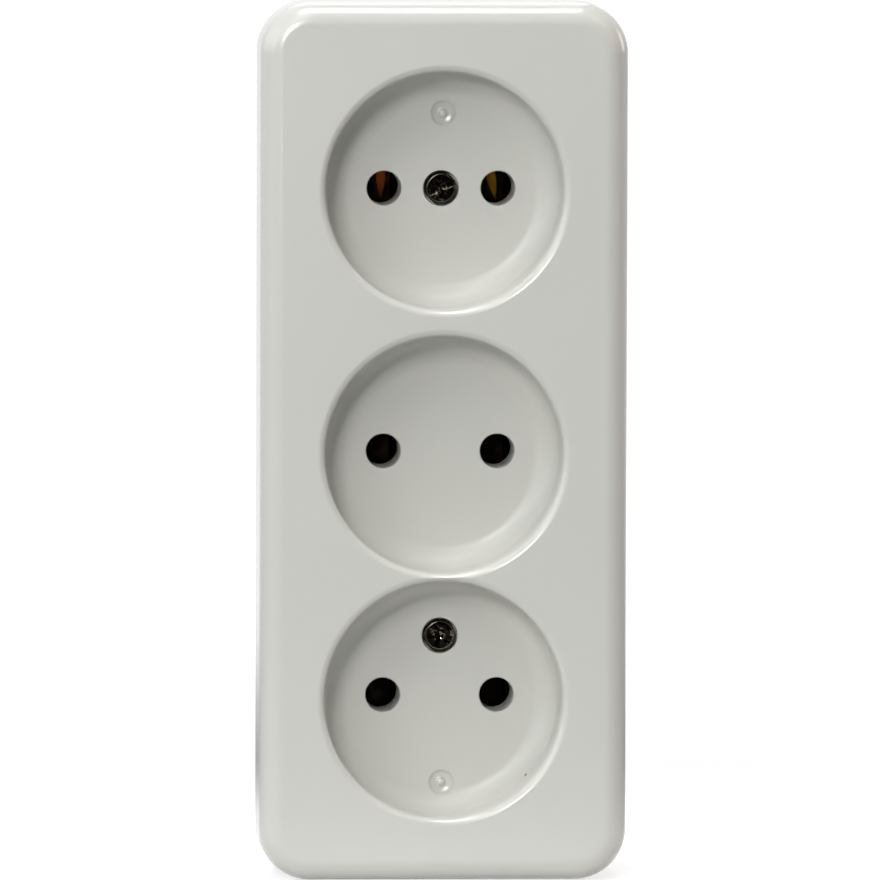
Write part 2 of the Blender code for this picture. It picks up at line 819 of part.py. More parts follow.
def build_terminal_screw(name, x, y):
    """One terminal screw with a slotted cheese head."""
    bm = bmesh.new()
    seat = bar_front + seat_gap + clamp_thickness + seat_gap
    head_top = seat + terminal_head_height
    end = nut_back - terminal_shank_reach + seat_gap
    rounding = terminal_head_height / 5
    section = [(0, end), (terminal_shank_radius, end), (terminal_shank_radius, seat),
               (terminal_head_radius, seat)]
    section += arc((terminal_head_radius - rounding, head_top - rounding), rounding, 0, 90, 2)
    section.append((0, head_top))
    turn(bm, section, small_steps, x, y)
    screw = place(name, bm, terminal_steel())
    length = 2 * (terminal_head_radius + past)
    boolean(screw, slot_cutter(f"{name}_slot", x, y, 0, length, terminal_slot_width,
                               head_top - terminal_slot_depth, head_top + past), "DIFFERENCE")
    smooth(screw)


def build_clamp_plate(name, x, y, bores):
    """One clamp plate: a pressed square with two sides bent down to keep the wire under it."""
    bm = bmesh.new()
    half = clamp_height / 2
    height = bar_front + seat_gap + clamp_thickness / 2
    edge = bar_width / 2 + seat_gap + clamp_thickness / 2
    points = [(-edge, height - clamp_lip), (-edge, height), (edge, height), (edge, height - clamp_lip)]
    rows = [(bm.verts.new((x + px, y - half, pz)), bm.verts.new((x + px, y + half, pz)))
            for px, pz in points]
    for row, following in zip(rows, rows[1:]):
        bm.faces.new((row[0], following[0], following[1], row[1]))
    plate = place(name, bm, terminal_steel())
    fold = plate.modifiers.new("sheet", "SOLIDIFY")
    fold.thickness = clamp_thickness
    fold.offset = 0
    fold.use_even_offset = True
    boolean(plate, bores, "DIFFERENCE")
    smooth(plate)


def build_terminal_nut(name, x, y, bores):
    """One square nut under the bar."""
    bm = bmesh.new()
    half = terminal_nut_side / 2
    block(bm, (x - half, y - half, nut_back), (x + half, y + half, pad_top))
    nut = place(name, bm, terminal_steel())
    boolean(nut, bores, "DIFFERENCE")
    smooth(nut)


for old in list(bpy.data.objects):
    bpy.data.objects.remove(old)

wall_frame = start_wall_frame()
build_cover()
build_base()
rivet_ways = rivet_bores()
terminal_ways = terminal_bores()
build_bar("live_bar", sides["left"], (rivet_ways, terminal_ways))
build_bar("neutral_bar", sides["right"], (rivet_ways, terminal_ways))
for socket, socket_y in sockets.items():
    for side, side_x in sides.items():
        build_contact(f"contact_{socket}_{side}", side_x, socket_y, rivet_ways)
        build_rivet(f"rivet_{socket}_{side}", side_x, socket_y)
for level, terminal_y in terminals.items():
    for side, side_x in sides.items():
        build_terminal_screw(f"terminal_screw_{level}_{side}", side_x, terminal_y)
        build_clamp_plate(f"clamp_plate_{level}_{side}", side_x, terminal_y, terminal_ways)
        build_terminal_nut(f"terminal_nut_{level}_{side}", side_x, terminal_y, terminal_ways)
for place_name, screw_angle in (("top", top_slot_angle), ("bottom", bottom_slot_angle)):
    build_cover_screw(f"cover_screw_{place_name}", screws[place_name], screw_angle)
    build_insert(f"insert_{place_name}", screws[place_name])
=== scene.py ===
"""Triple surface-mounted socket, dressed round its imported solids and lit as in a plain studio.

The wall is the plane y = 0, the front faces -Y and +Z is up. Sizes are in metres. In a section of
a round form the second number is the distance from the wall.
"""

import math

import bmesh
import bpy
from mathutils import Matrix, Vector


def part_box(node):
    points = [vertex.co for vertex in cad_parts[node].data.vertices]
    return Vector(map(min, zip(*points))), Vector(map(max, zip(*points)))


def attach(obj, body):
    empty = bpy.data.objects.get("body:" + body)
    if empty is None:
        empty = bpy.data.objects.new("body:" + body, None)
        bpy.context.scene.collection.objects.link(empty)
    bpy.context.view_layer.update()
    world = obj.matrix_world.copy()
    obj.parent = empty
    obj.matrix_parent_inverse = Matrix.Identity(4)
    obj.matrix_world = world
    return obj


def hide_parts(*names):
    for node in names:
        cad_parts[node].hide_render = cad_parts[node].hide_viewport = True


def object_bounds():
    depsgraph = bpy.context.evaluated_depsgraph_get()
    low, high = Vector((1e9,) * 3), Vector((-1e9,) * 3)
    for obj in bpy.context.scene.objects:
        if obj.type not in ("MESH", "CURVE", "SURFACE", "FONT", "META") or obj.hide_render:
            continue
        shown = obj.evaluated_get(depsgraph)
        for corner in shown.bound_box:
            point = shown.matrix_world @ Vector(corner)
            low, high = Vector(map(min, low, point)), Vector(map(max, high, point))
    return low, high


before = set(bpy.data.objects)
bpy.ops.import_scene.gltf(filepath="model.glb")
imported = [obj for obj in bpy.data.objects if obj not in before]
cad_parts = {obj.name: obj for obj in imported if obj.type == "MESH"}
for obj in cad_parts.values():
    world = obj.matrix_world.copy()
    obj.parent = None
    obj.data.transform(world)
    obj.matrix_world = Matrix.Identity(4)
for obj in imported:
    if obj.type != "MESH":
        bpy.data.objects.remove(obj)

cad_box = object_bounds()

# The base: a deep wall box in dark phenolic, pressed in one piece with ribs for the metal parts,
# a barrier and two screw posts. Two long holes take the screws that hold it to the wall.
mm = 0.001
draft = math.tan(math.radians(0.5))
sockets = {"top": 41.7 * mm, "middle": -2.1 * mm, "bottom": -42.8 * mm}
sides = {"left": -9.5 * mm, "right": 9.5 * mm}
screws = {"top": 41.7 * mm, "bottom": -32.9 * mm}
terminals = {"upper": 19.8 * mm, "lower": -22.45 * mm}
base_low, base_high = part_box("base")
base_width = base_high.x - base_low.x
base_height = base_high.z - base_low.z
base_rim = 30.0 * mm
base_plate = 3.0 * mm
base_wall = 2.0 * mm
base_corner = 6.2 * mm
base_inside_bend = 0.8 * mm
pad_top = 4.6 * mm
pad_half = 4.75 * mm
station_half = 4.7 * mm
station_reach = 4.6 * mm
station_top = 14.0 * mm
station_foot = 5.0 * mm
channel_half = 3.5 * mm
channel_top = 15.0 * mm
channel_low = -11.9 * mm
channel_high = 5.6 * mm
tab_length = 6.3 * mm
rivet_drop = 6.3 * mm
rivet_pocket_radius = 2.1 * mm
rivet_pocket_floor = 3.7 * mm
nut_pocket_half = 3.55 * mm
nut_pocket_floor = 2.1 * mm
barrier_half = 0.7 * mm
barrier_top = 12.0 * mm
post_top = 21.3 * mm
post_radius = 3.6 * mm
post_edge = 0.2 * mm
post_bore = 1.75 * mm
post_bore_end = 11.3 * mm
insert_seat = 12.7 * mm
insert_hole = 2.4 * mm
past = 1.0 * mm  # how far a cutting form stands out of what it cuts


def take(piece):
    """Put the piece on the bench: it alone is selected and active."""
    bpy.ops.object.select_all(action="DESELECT")
    piece.select_set(True)
    bpy.context.view_layer.objects.active = piece


def settle(name):
    """Name the new form and leave its object at the origin, with its place in its mesh."""
    bpy.ops.object.transform_apply(location=True, rotation=True, scale=True)
    piece = bpy.context.object
    piece.name = name
    piece.data.name = name
    return piece


def block(name, x, distance, z):
    """A block between two places across, away from the wall and up."""
    bpy.ops.object.select_all(action="DESELECT")
    ends = (x, (-distance[1], -distance[0]), z)
    bpy.ops.mesh.primitive_cube_add(size=1, location=[(low + high) / 2 for low, high in ends])
    bpy.ops.transform.resize(value=[high - low for low, high in ends])
    return settle(name)


def pick(kind, test):
    """Select the faces, edges or points of the open mesh that pass the test."""
    bpy.ops.mesh.select_mode(type=kind)
    bpy.ops.mesh.select_all(action="DESELECT")
    mesh = bpy.context.object.data
    shape = bmesh.from_edit_mesh(mesh)
    for part in {"VERT": shape.verts, "EDGE": shape.edges, "FACE": shape.faces}[kind]:
        if test(part):
            part.select_set(True)
    shape.select_flush_mode()
    bmesh.update_edit_mesh(mesh)


def round_edges(width, steps, test):
    """Round the edges of the open mesh that pass the test."""
    pick("EDGE", test)
    bpy.ops.mesh.bevel(offset=width, offset_type="OFFSET", segments=steps, profile=0.5,
                       affect="EDGES")


def across(edge):
    """How far an edge runs away from the wall."""
    return abs(edge.verts[0].co.y - edge.verts[1].co.y)


def at_front(distance):
    """A test for what lies at this distance from the wall."""
    return lambda part: all(abs(vert.co.y + distance) < 0.01 * mm for vert in part.verts)


def box(name, width, height, back, front, corner, corner_steps, front_round=0, front_steps=4,
        back_round=0, back_steps=3):
    """A drafted box with round corners, and with round edges at its front and back."""
    piece = block(name, (-width / 2, width / 2), (back, front), (-height / 2, height / 2))
    take(piece)
    bpy.ops.object.mode_set(mode="EDIT")
    pick("FACE", at_front(front))
    shrink = 2 * (front - back) * draft
    bpy.ops.transform.resize(value=((width - shrink) / width, 1, (height - shrink) / height),
                             center_override=(0, -front, 0))
    round_edges(corner, corner_steps, lambda edge: across(edge) > (front - back) / 2)
    if front_round:
        round_edges(front_round, front_steps, at_front(front))
    if back_round:
        round_edges(back_round, back_steps, at_front(back))
    bpy.ops.object.mode_set(mode="OBJECT")
    return piece


def arc(radius, distance, bend, start, end, steps):
    """Points of an arc in a section, from one angle in degrees to another."""
    turns = [math.radians(start + (end - start) * step / steps) for step in range(steps + 1)]
    return [(radius + bend * math.cos(turn), distance + bend * math.sin(turn)) for turn in turns]


def turned(name, section, steps, z=0):
    """A round form, drawn ring by ring away from the wall."""
    bpy.ops.object.select_all(action="DESELECT")
    bpy.ops.mesh.primitive_circle_add(vertices=steps, radius=section[0][0], fill_type="NGON",
                                      location=(0, -section[0][1], z), rotation=(math.pi / 2, 0, 0))
    piece = settle(name)
    bpy.ops.object.mode_set(mode="EDIT")
    bpy.ops.mesh.select_all(action="SELECT")
    for (radius, distance), (wider, further) in zip(section, section[1:]):
        bpy.ops.mesh.extrude_region_move(
            TRANSFORM_OT_translate={"value": (0, distance - further, 0)})
        bpy.ops.transform.resize(value=(wider / radius, 1, wider / radius),
                                 center_override=(0, -further, z))
    bpy.ops.mesh.select_all(action="SELECT")
    bpy.ops.mesh.normals_make_consistent(inside=False)
    bpy.ops.object.mode_set(mode="OBJECT")
    return piece


def copied(piece, name, x=0, z=0):
    """Another of the same, with its own mesh, moved across and up."""
    take(piece)
    bpy.ops.object.duplicate()
    bpy.ops.transform.translate(value=(x, 0, z))
    return settle(name)


def combine(piece, form, operation):
    """Join a form to the piece or cut it out, and take the form away."""
    take(piece)
    modifier = piece.modifiers.new("form", "BOOLEAN")
    modifier.object = form
    modifier.operation = operation
    modifier.solver = "MANIFOLD"
    bpy.ops.object.modifier_apply(modifier=modifier.name)
    bpy.data.objects.remove(form)


def combine_copies(piece, form, operation, places):
    """Join or cut the same form at several places across and up."""
    for x, z in places:
        combine(piece, copied(form, "form", x, z), operation)
    bpy.data.objects.remove(form)


class Wire:
    """A number on its way through a finish. Sums on it add the nodes that do them."""

    def __init__(self, nodes, socket):
        self.nodes = nodes
        self.socket = socket

    def sum(self, operation, first, second):
        return self.nodes.add("Math", {"operation": operation}, {0: first, 1: second})

    def __add__(self, other):
        return self.sum("ADD", self, other)

    def __sub__(self, other):
        return self.sum("SUBTRACT", self, other)

    def __rsub__(self, other):
        return self.sum("SUBTRACT", other, self)

    def __mul__(self, other):
        return self.sum("MULTIPLY", self, other)

    __radd__ = __add__
    __rmul__ = __mul__


class Nodes:
    """The nodes of one finish, or of the world."""

    def __init__(self, tree):
        self.tree = tree

    def add(self, kind, settings=None, values=None, output=0):
        """Any node: its type, its settings, and the values or wires of its sockets."""
        made = self.tree.nodes.new("ShaderNode" + kind)
        for name, value in (settings or {}).items():
            setattr(made, name, value)
        for name, value in (values or {}).items():
            self.feed(made.inputs[name], value)
        return Wire(self, made.outputs[output])

    def feed(self, socket, value):
        """Set a socket, or lead a wire to it."""
        if isinstance(value, Wire):
            self.tree.links.new(value.socket, socket)
        else:
            socket.default_value = value

    def grain(self, scale, stretch=(1, 1, 1), detail=3, rough=0.5):
        """Soft noise over the piece, from 0 to 1: scale is per metre."""
        place = self.add("TexCoord", output=3)
        moved = self.add("Mapping", {}, {"Vector": place, "Scale": stretch})
        return self.add("TexNoise", {}, {"Vector": moved, "Scale": scale, "Detail": detail,
                                         "Roughness": rough})

    def between(self, wire, low, high, start=0.0, end=1.0):
        """The wire from low to high, as a number from start to end, easing at both."""
        return self.add("MapRange", {"interpolation_type": "SMOOTHSTEP"},
                        {"Value": wire, "From Min": low, "From Max": high, "To Min": start,
                         "To Max": end})

    def tint(self, share, first, second):
        """One colour going over into another."""
        return self.add("Mix", {"data_type": "RGBA"}, {0: share, 6: first, 7: second}, 2)

    def bumps(self, height, depth, under=None):
        """A relief of this depth in metres, on top of another."""
        values = {"Height": height, "Distance": depth, "Strength": 1.0}
        if under:
            values["Normal"] = under
        return self.add("Bump", {}, values)


def finish(name, constants):
    """A new finish: its material, its shader's sockets and its nodes."""
    material = bpy.data.materials.new(name)
    material.use_nodes = True
    shader = material.node_tree.nodes["Principled BSDF"]
    for socket, value in constants.items():
        shader.inputs[socket].default_value = value
    return material, shader.inputs, Nodes(material.node_tree)


def opaque(red, green, blue):
    """A colour with nothing see-through about it."""
    return red, green, blue, 1


def fit(piece, material, node, angle=30):
    """Give the piece its finish and smooth shading, and put it in place of its solid."""
    take(piece)
    bpy.ops.object.shade_smooth_by_angle(angle=math.radians(angle))
    evened = piece.modifiers.new("evened", "WEIGHTED_NORMAL")
    evened.keep_sharp = True
    bpy.ops.object.modifier_apply(modifier=evened.name)
    piece.data.materials.clear()
    piece.data.materials.append(material)
    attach(piece, "root")
    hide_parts(node)
    piece.name = f"{node}_fine"


phenolic, surface, nodes = finish("base_plastic", {"IOR": 1.6, "Specular IOR Level": 0.45})
mottle = nodes.grain(160, detail=4)
fibre = nodes.grain(2600, detail=2)
dust = nodes.between(nodes.grain(420, detail=5, rough=0.7), 0.55, 0.75)
brown = nodes.tint(mottle, opaque(0.017, 0.013, 0.011), opaque(0.030, 0.024, 0.020))
nodes.feed(surface["Base Color"], nodes.tint(dust * 0.35, brown, opaque(0.085, 0.078, 0.068)))
nodes.feed(surface["Roughness"], 0.34 + mottle * 0.16 + dust * 0.2)
coarse = nodes.bumps(nodes.grain(700, detail=3), 0.012 * mm)
nodes.feed(surface["Normal"], nodes.bumps(fibre, 0.004 * mm, coarse))

base = box("base", base_width, base_height, 0, base_rim, base_corner, 12,
           front_round=0.4 * mm, front_steps=3, back_round=0.5 * mm)
shrink = 2 * (base_wall + base_plate * draft)
hollow = box("hollow", base_width - shrink, base_height - shrink, base_plate, base_rim + past,
             base_corner - base_wall, 10, back_round=base_inside_bend)
combine(base, hollow, "DIFFERENCE")
contacts_at = [(x, z) for x in sides.values() for z in sockets.values()]
terminals_at = [(x, z) for x in sides.values() for z in terminals.values()]
screws_at = [(0, z) for z in screws.values()]
foot = block("foot", (-station_half, station_half),
             (base_plate / 2, base_plate + station_foot), (-station_reach - tab_length, 0))
combine_copies(base, foot, "UNION", contacts_at)
station = block("station", (-station_half, station_half), (base_plate / 2, station_top),
                (-station_reach, station_reach))
combine_copies(base, station, "UNION", contacts_at)
pad = block("pad", (-pad_half, pad_half), (base_plate / 2, pad_top), (-pad_half, pad_half))
combine_copies(base, pad, "UNION", terminals_at)
barrier = block("barrier", (-barrier_half, barrier_half), (base_plate / 2, barrier_top),
                (screws["bottom"], screws["top"]))
combine(base, barrier, "UNION")
post = turned("post", [(post_radius, base_plate / 2), (post_radius, post_top - post_edge),
                       (post_radius - post_edge, post_top)], 48)
combine_copies(base, post, "UNION", screws_at)
channel = block("channel", (-channel_half, channel_half), (pad_top, channel_top),
                (channel_low, channel_high))
combine_copies(base, channel, "DIFFERENCE", contacts_at)
rivet_pocket = turned("rivet_pocket", [(rivet_pocket_radius, rivet_pocket_floor),
                                       (rivet_pocket_radius, pad_top + past)], 32, -rivet_drop)
combine_copies(base, rivet_pocket, "DIFFERENCE", contacts_at)
nut_pocket = block("nut_pocket", (-nut_pocket_half, nut_pocket_half),
                   (nut_pocket_floor, pad_top + past), (-nut_pocket_half, nut_pocket_half))
combine_copies(base, nut_pocket, "DIFFERENCE", terminals_at)
post_hole = turned("post_hole", [(post_bore, post_bore_end), (post_bore, insert_seat),
                                 (insert_hole, insert_seat + 0.01 * mm),
                                 (insert_hole, post_top + past)], 48)
combine_copies(base, post_hole, "DIFFERENCE", screws_at)
half_height = base_height / 2
wall_slot_height = half_height - 14.0 * mm
wall_slots_at = [(0, -wall_slot_height), (0, wall_slot_height)]
wall_slot_radius = 2.3 * mm
wall_slot_length = 9.0 * mm
wall_slot_edge = 0.25 * mm
sink_radius = 4.2 * mm
sink_length = 12.8 * mm
sink_floor = 1.8 * mm
arch_radius = 6.0 * mm
arch_middle = 7.5 * mm
arch_foot = 3.5 * mm
arch_leg = 5.0 * mm
knockout_skin = 0.7 * mm


def long_hole(name, radius, length, back, front, chamfer):
    """A slot with round ends: a cylinder pulled apart, wider by the chamfer at both faces."""
    section = [(radius + chamfer + past, back - past), (radius, back + chamfer),
               (radius, front - chamfer), (radius + chamfer + past, front + past)]
    piece = turned(name, section, 48)
    bpy.ops.object.mode_set(mode="EDIT")
    stretch = length / 2 - radius
    pick("VERT", lambda vert: vert.co.z > 0.001 * mm)
    bpy.ops.transform.translate(value=(0, 0, stretch))
    pick("VERT", lambda vert: vert.co.z < -0.001 * mm)
    bpy.ops.transform.translate(value=(0, 0, -stretch))
    bpy.ops.object.mode_set(mode="OBJECT")
    return piece


sink = long_hole("sink", sink_radius, sink_length, sink_floor + past, base_plate, 0)
combine_copies(base, sink, "DIFFERENCE", wall_slots_at)
wall_slot = long_hole("wall_slot", wall_slot_radius, wall_slot_length, 0, sink_floor,
                      wall_slot_edge)
combine_copies(base, wall_slot, "DIFFERENCE", wall_slots_at)


def arch(name, low, high):
    """A passage through an end wall, from low to high: round on top, with straight sides."""
    bpy.ops.object.select_all(action="DESELECT")
    bpy.ops.mesh.primitive_cylinder_add(vertices=48, radius=arch_radius, depth=high - low,
                                        location=(0, -arch_middle, (low + high) / 2))
    piece = settle(name)
    bpy.ops.object.mode_set(mode="EDIT")
    pick("VERT", lambda vert: vert.co.y > 0.001 * mm - arch_middle)
    bpy.ops.transform.resize(value=(1, 0, 1), center_override=(0, -arch_foot, 0))
    pick("VERT", lambda vert: vert.co.y > -0.1 * mm - arch_foot and abs(vert.co.x) > arch_leg)
    shape = bmesh.from_edit_mesh(piece.data)
    for vert in shape.verts:
        if vert.select:
            vert.co.x = math.copysign(arch_radius, vert.co.x)
    bmesh.update_edit_mesh(piece.data)
    bpy.ops.object.mode_set(mode="OBJECT")
    return piece


combine(base, arch("cable_entry", -half_height - past, -half_height + base_wall + past),
        "DIFFERENCE")
combine(base, arch("knockout", half_height - base_wall + knockout_skin, half_height + past),
        "DIFFERENCE")
ejector_radius = 2.5 * mm
ejector_depth = 0.15 * mm
ejector = turned("ejector", [(ejector_radius, -past), (ejector_radius, ejector_depth)], 40)
combine_copies(base, ejector, "DIFFERENCE",
               [(x * mm, z * mm) for x in (-20, 20) for z in (-55, -18, 18, 55)])
fit(base, phenolic, "base")

# The bars: two strips stamped from rolled brass, one for each pole. Each links three contacts and
# two terminals, and lies on the pads of the base.
bar_back = 4.9 * mm
bar_front = 5.7 * mm
bar_half = 3.2 * mm
bar_corner = 1.6 * mm
bar_edge = 0.10 * mm
rivet_bore_radius = 1.3 * mm
screw_bore_radius = 1.9 * mm
bar_low, bar_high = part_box("live_bar")


def brass(name, fresh, aged_and_shaded, tarnish, grain_stretch):
    """Brass that has browned in patches, with fine lines from the rolling or drawing."""
    material, surface, nodes = finish(name, {"Metallic": 1.0})
    patches = nodes.grain(240, detail=5, rough=0.6)
    lines = nodes.grain(2200, grain_stretch, 3)
    spots = nodes.between(nodes.grain(1300, detail=4, rough=0.7), 0.58, 0.72)
    browned = nodes.between(patches, 0.62 - tarnish / 2, 0.80 - tarnish / 2)
    metal = nodes.tint(browned, opaque(*fresh), opaque(*aged_and_shaded))
    dark = opaque(*[part * 0.45 for part in aged_and_shaded])
    nodes.feed(surface["Base Color"], nodes.tint(spots * 0.5, metal, dark))
    nodes.feed(surface["Roughness"], 0.24 + browned * 0.18 + lines * 0.10 + spots * 0.12)
    nodes.feed(surface["Normal"], nodes.bumps(lines, 0.003 * mm, nodes.bumps(spots, 0.006 * mm)))
    return material


rolled_brass = brass("bar_brass", (0.70, 0.47, 0.18), (0.40, 0.24, 0.09), 0.25, (1, 1, 0.04))
bar = block("bar", (-bar_half, bar_half), (bar_back, bar_front), (bar_low.z, bar_high.z))
take(bar)
bpy.ops.object.mode_set(mode="EDIT")
round_edges(bar_corner, 8, lambda edge: across(edge) > 0.5 * mm)
round_edges(bar_edge, 2, lambda edge: across(edge) < 0.01 * mm)
bpy.ops.object.mode_set(mode="OBJECT")
rivet_bore = turned("rivet_bore", [(rivet_bore_radius, bar_back - past),
                                   (rivet_bore_radius, bar_front + past)], 40)
combine_copies(bar, rivet_bore, "DIFFERENCE", [(0, z - rivet_drop) for z in sockets.values()])
screw_bore = turned("screw_bore", [(screw_bore_radius, bar_back - past),
                                   (screw_bore_radius, bar_front + past)], 40)
combine_copies(bar, screw_bore, "DIFFERENCE", [(0, z) for z in terminals.values()])
for node, x in (("live_bar", sides["left"]), ("neutral_bar", sides["right"])):
    fit(copied(bar, "bar_copy", x), rolled_brass, node)
bpy.data.objects.remove(bar)

# The contacts: springy brass strip folded to two bowed leaves with flared lips, and a tab with a
# hole for its rivet. Their brass is near black, partly from tarnish and mostly as painted shade for
# the depth of the pin holes, and on the upper pair a pointed band is a painted pool of light.
strip = 0.6 * mm
contact_half = 3.0 * mm
contact_floor = 6.3 * mm
bend_radius = 0.6 * mm
throat_x = 1.9 * mm
throat_distance = 12.6 * mm
leaf_top = 14.6 * mm
lip_flare = 0.8 * mm
bend_steps, leaf_steps, lip_steps = 6, 16, 6
floor_half = contact_half - bend_radius
leaf_foot = contact_floor + bend_radius
leaf = [(floor_half, contact_floor)]
leaf += [(floor_half + bend_radius * math.sin(turn),
          contact_floor + bend_radius * (1 - math.cos(turn)))
         for turn in [math.radians(90 * step / bend_steps) for step in range(1, bend_steps + 1)]]
leaf += [(contact_half
          + (throat_x - contact_half) * (1 - math.cos(math.pi * step / leaf_steps)) / 2,
          leaf_foot + (throat_distance - leaf_foot) * step / leaf_steps)
         for step in range(1, leaf_steps + 1)]
leaf += [(throat_x + lip_flare * (step / lip_steps) ** 2,
          throat_distance + (leaf_top - throat_distance) * step / lip_steps)
         for step in range(1, lip_steps + 1)]


def run_on(test, way):
    """Draw the picked edge on through the places of a way, each an offset from the one before."""
    pick("EDGE", test)
    for offset in way:
        bpy.ops.mesh.extrude_region_move(TRANSFORM_OT_translate={"value": offset})


def thicken(piece, thickness, edge_round):
    """Give a folded sheet its thickness and soft edges."""
    take(piece)
    sheet = piece.modifiers.new("sheet", "SOLIDIFY")
    sheet.thickness = thickness
    sheet.offset = 0
    sheet.use_even_offset = True
    bpy.ops.object.modifier_apply(modifier=sheet.name)
    softened = piece.modifiers.new("softened", "BEVEL")
    softened.width = edge_round
    softened.segments = 2
    softened.angle_limit = math.radians(50)
    bpy.ops.object.modifier_apply(modifier=softened.name)


def sheet_piece(name, x, distance, z):
    """A flat sheet facing away from the wall, open for folding."""
    bpy.ops.object.select_all(action="DESELECT")
    bpy.ops.mesh.primitive_plane_add(size=1, rotation=(math.pi / 2, 0, 0),
                                     location=(sum(x) / 2, -distance, sum(z) / 2))
    bpy.ops.transform.resize(value=(x[1] - x[0], 1, z[1] - z[0]))
    piece = settle(name)
    bpy.ops.object.mode_set(mode="EDIT")
    return piece


contact = sheet_piece("contact", (-floor_half, floor_half), contact_floor,
                      (-contact_half, contact_half))
for side in (1, -1):
    way = [(side * (after[0] - before[0]), before[1] - after[1], 0)
           for before, after in zip(leaf, leaf[1:])]
    run_on(lambda edge: all(abs(vert.co.x - side * floor_half) < 0.01 * mm for vert in edge.verts),
           way)
run_on(lambda edge: all(abs(vert.co.z + contact_half) < 0.01 * mm
                        and abs(vert.co.x) < floor_half + 0.01 * mm for vert in edge.verts),
       [(0, 0, -tab_length)])
bpy.ops.object.mode_set(mode="OBJECT")
thicken(contact, strip, 0.08 * mm)
bore_back = 5.0 * mm
bore_front = 8.0 * mm
tab_bore = turned("tab_bore", [(rivet_bore_radius, bore_back), (rivet_bore_radius, bore_front)],
                  40, -rivet_drop)
combine(contact, tab_bore, "DIFFERENCE")
# Painted shade: the contacts' brass is near black, partly tarnish and mostly standing for the shade
# deep in the pin holes.
aged_and_shaded = (0.024, 0.016, 0.010)
tarnished_and_shaded = (0.010, 0.007, 0.004)
dull_brass = brass("contact_brass", aged_and_shaded, tarnished_and_shaded, 0.45, (1, 0.05, 1))
band_top = sockets["top"] + 1.7 * mm
band_length = 4.3 * mm


def brass_with_painted_light(name, x, middle, half, lean, metal):
    """Near-black brass with a painted pool of light: a pointed band by its axis, where light falls
    down the pin hole.
    """
    material = brass(name, aged_and_shaded, tarnished_and_shaded, 0.45, (1, 0.05, 1))
    nodes = Nodes(material.node_tree)
    shader = material.node_tree.nodes["Principled BSDF"]
    dull = Wire(nodes, shader.inputs["Base Color"].links[0].from_socket)
    place = nodes.add("TexCoord", output=3)
    from_middle = nodes.add("SeparateXYZ", {}, {0: place}, 0) - (x + middle)
    below = band_top - nodes.add("SeparateXYZ", {}, {0: place}, 2)
    aside = nodes.add("Math", {"operation": "ABSOLUTE"}, {0: from_middle - lean * below})
    share = below * (1 / band_length)
    soft = 0.15 * mm
    # Painted light: a pointed band, shaped as the light that falls down the pin hole, painted
    # bright on the brass.
    band = nodes.between(half * (1 - share * share) - aside, -soft, soft)
    painted_light = band * nodes.between(nodes.grain(900, (1, 0.1, 0.2), 4), 0.30, 0.55, 0.6, 1.0)
    nodes.feed(shader.inputs["Base Color"], nodes.tint(painted_light, dull, opaque(*metal)))
    return material


top_brass = {"left": brass_with_painted_light("contact_brass_left", sides["left"], 0.5 * mm, 0.75 * mm, 0,
                                  (0.33, 0.085, 0.025)),
             "right": brass_with_painted_light("contact_brass_right", sides["right"], -0.1 * mm, 0.8 * mm,
                                   0.2, (0.38, 0.21, 0.015))}
for level, z in sockets.items():
    for side, x in sides.items():
        material = top_brass[side] if level == "top" else dull_brass
        fit(copied(contact, "contact_copy", x, z), material,
            f"contact_{level}_{side}")
bpy.data.objects.remove(contact)

# The rivets: soft brass, each with a low round head on the tab of a contact and an end that is
# hammered out in a pocket under the bar.
soft_brass = brass("rivet_brass", (0.66, 0.45, 0.19), (0.38, 0.23, 0.10), 0.20, (1, 1, 1))


def in_mm(section):
    """A section that is written in millimetres."""
    return [(radius * mm, distance * mm) for radius, distance in section]


rivet = turned("rivet", in_mm([(1.2, 4.00), (1.6, 4.08), (1.8, 4.25), (1.8, 4.60), (1.0, 4.601),
                               (1.0, 6.90), (1.8, 6.901), (1.8, 7.10), (1.68, 7.26), (1.4, 7.40),
                               (1.0, 7.48), (0.5, 7.50)]), 48, -rivet_drop)
for level, z in sockets.items():
    for side, x in sides.items():
        fit(copied(rivet, "rivet_copy", x, z), soft_brass, f"rivet_{level}_{side}")
bpy.data.objects.remove(rivet)

# The terminals: zinc-plated steel. A square nut sits in a pocket under the bar, and a slotted
# screw presses a plate with two bent sides on the wire.
zinc, surface, nodes = finish("terminal_steel", {"Metallic": 1.0})
bloom = nodes.grain(320, detail=5, rough=0.6)
crystals = nodes.grain(2400, detail=3)
haze = nodes.between(bloom, 0.48, 0.70)
plated = nodes.tint(bloom, opaque(0.50, 0.52, 0.55), opaque(0.62, 0.60, 0.54))
nodes.feed(surface["Base Color"], nodes.tint(haze * 0.45, plated, opaque(0.34, 0.34, 0.33)))
nodes.feed(surface["Roughness"], 0.24 + haze * 0.16 + crystals * 0.10)
nodes.feed(surface["Normal"], nodes.bumps(crystals, 0.004 * mm))
nut_half = 3.25 * mm
nut_back = 2.4 * mm
nut_edge = 0.25 * mm
nut = block("nut", (-nut_half, nut_half), (nut_back, pad_top), (-nut_half, nut_half))
take(nut)
bpy.ops.object.mode_set(mode="EDIT")
round_edges(nut_edge, 2, lambda edge: True)
bpy.ops.object.mode_set(mode="OBJECT")
nut_thread = turned("nut_thread", in_mm([(2.3, 2.0), (1.9, 2.7), (1.9, 4.3), (2.3, 5.0)]), 40)
combine(nut, nut_thread, "DIFFERENCE")
clamp_half = 3.95 * mm
clamp_reach = 4.0 * mm
clamp_middle = 6.45 * mm
clamp_sheet = 0.9 * mm
clamp_bend = 0.5 * mm
clamp_side = 0.6 * mm
clamp_flat = clamp_half - clamp_bend
clamp = sheet_piece("clamp", (-clamp_flat, clamp_flat), clamp_middle, (-clamp_reach, clamp_reach))
